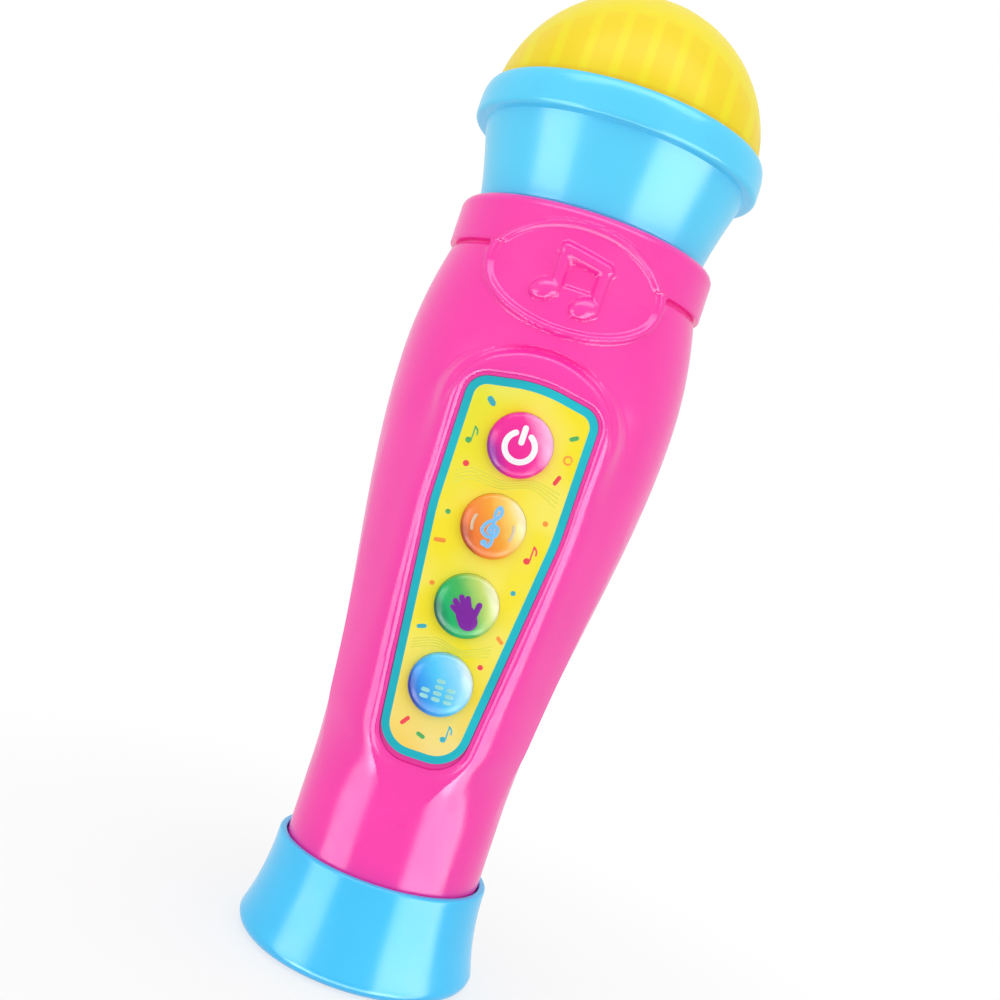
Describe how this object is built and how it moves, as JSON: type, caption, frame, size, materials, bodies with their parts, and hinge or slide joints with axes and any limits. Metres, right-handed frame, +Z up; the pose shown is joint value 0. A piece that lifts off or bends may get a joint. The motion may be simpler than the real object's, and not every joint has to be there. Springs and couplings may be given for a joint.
{
  "type": "toy microphone",
  "caption": "Hand-held toy microphone with a ribbed see-through dome head, flared base, recessed button panel under an oval relief and a rear battery door.",
  "frame": {"origin": "centre of the flat underside of the base cap", "axes": "+Z up along the handle's axis, -Y out of the front with the buttons, +X to the viewer's right of the front"},
  "size_m": [0.065, 0.0651, 0.22],
  "materials": {
    "pink_plastic": "glossy moulded ABS",
    "blue_plastic": "glossy moulded ABS",
    "yellow_dome": "clear tinted polystyrene",
    "label_print": "printed plastic sheet",
    "button_pink": "glossy, printed symbol",
    "button_orange": "glossy, printed symbol",
    "button_green": "glossy, printed symbol",
    "button_blue": "glossy, printed symbol",
    "grey_silicone": "matt",
    "board_green": "solder mask",
    "black_epoxy": "semi-gloss",
    "plated_steel": "zinc or nickel plated",
    "cone_paper": "pressed paper",
    "cell_jacket": "plain wrapped cell",
    "tray_plastic": "satin",
    "lamp_clear": "clear epoxy",
    "wire_red": "PVC",
    "wire_black": "PVC"
  },
  "bodies": {
    "handle": {"base_cap": "blue_plastic", "battery_left": "cell_jacket", "battery_right": "cell_jacket", "battery_tray": "tray_plastic", "battery_wire_black": "wire_black", "battery_wire_red": "wire_red", "board_screw_1": "plated_steel", "board_screw_2": "plated_steel", "board_screw_3": "plated_steel", "board_screw_4": "plated_steel", "bridge_plate": "plated_steel", "bridge_spring": "plated_steel", "capacitor": "black_epoxy", "circuit_board": "board_green", "contact_pad_clap": "grey_silicone", "contact_pad_melody": "grey_silicone", "contact_pad_power": "grey_silicone", "contact_pad_rhythm": "grey_silicone", "contact_plate_minus": "plated_steel", "contact_plate_plus": "plated_steel", "contact_spring": "plated_steel", "dome_cover": "yellow_dome", "front_shell": "pink_plastic", "head_collar": "blue_plastic", "lamp_1": "lamp_clear", "lamp_2": "lamp_clear", "lamp_3": "lamp_clear", "lamp_board": "board_green", "lamp_wire_black": "wire_black", "lamp_wire_red": "wire_red", "panel_label": "label_print", "rear_shell": "pink_plastic", "shell_screw_1": "plated_steel", "shell_screw_2": "plated_steel", "shell_screw_3": "plated_steel", "shell_screw_4": "plated_steel", "sound_chip": "black_epoxy", "speaker_cone": "cone_paper", "speaker_frame": "plated_steel", "speaker_magnet": "plated_steel", "speaker_wire_black": "wire_black", "speaker_wire_red": "wire_red"},
    "button_power": {"button_power": "button_pink"},
    "button_melody": {"button_melody": "button_orange"},
    "button_clap": {"button_clap": "button_green"},
    "button_rhythm": {"button_rhythm": "button_blue"},
    "battery_door": {"battery_door": "pink_plastic"},
    "battery_door_screw": {"battery_door_screw": "plated_steel"}
  },
  "joints": [
    {"name": "power_press", "type": "slide", "parent": "handle", "child": "button_power", "axis": [0, 0.9936, 0.1132], "range_m": [0, 0.0015], "stiffness_N_per_m": 300, "springref_m": -0.001, "deforming": ["contact_pad_power"]},
    {"name": "melody_press", "type": "slide", "parent": "handle", "child": "button_melody", "axis": [0, 0.9936, 0.1132], "range_m": [0, 0.0015], "stiffness_N_per_m": 300, "springref_m": -0.001, "deforming": ["contact_pad_melody"]},
    {"name": "clap_press", "type": "slide", "parent": "handle", "child": "button_clap", "axis": [0, 0.9936, 0.1132], "range_m": [0, 0.0015], "stiffness_N_per_m": 300, "springref_m": -0.001, "deforming": ["contact_pad_clap"]},
    {"name": "rhythm_press", "type": "slide", "parent": "handle", "child": "button_rhythm", "axis": [0, 0.9936, 0.1132], "range_m": [0, 0.0015], "stiffness_N_per_m": 300, "springref_m": -0.001, "deforming": ["contact_pad_rhythm"]},
    {"name": "battery_door_swing", "type": "hinge", "parent": "handle", "child": "battery_door", "pos_m": [0, 0.03076, 0.1165], "axis": [1, 0, 0], "range_deg": [0, 75]},
    {"name": "battery_door_screw_turn", "type": "hinge", "parent": "battery_door", "child": "battery_door_screw", "pos_m": [0, 0.0205, 0.046], "axis": [0, 1, 0], "continuous": true}
  ]
}
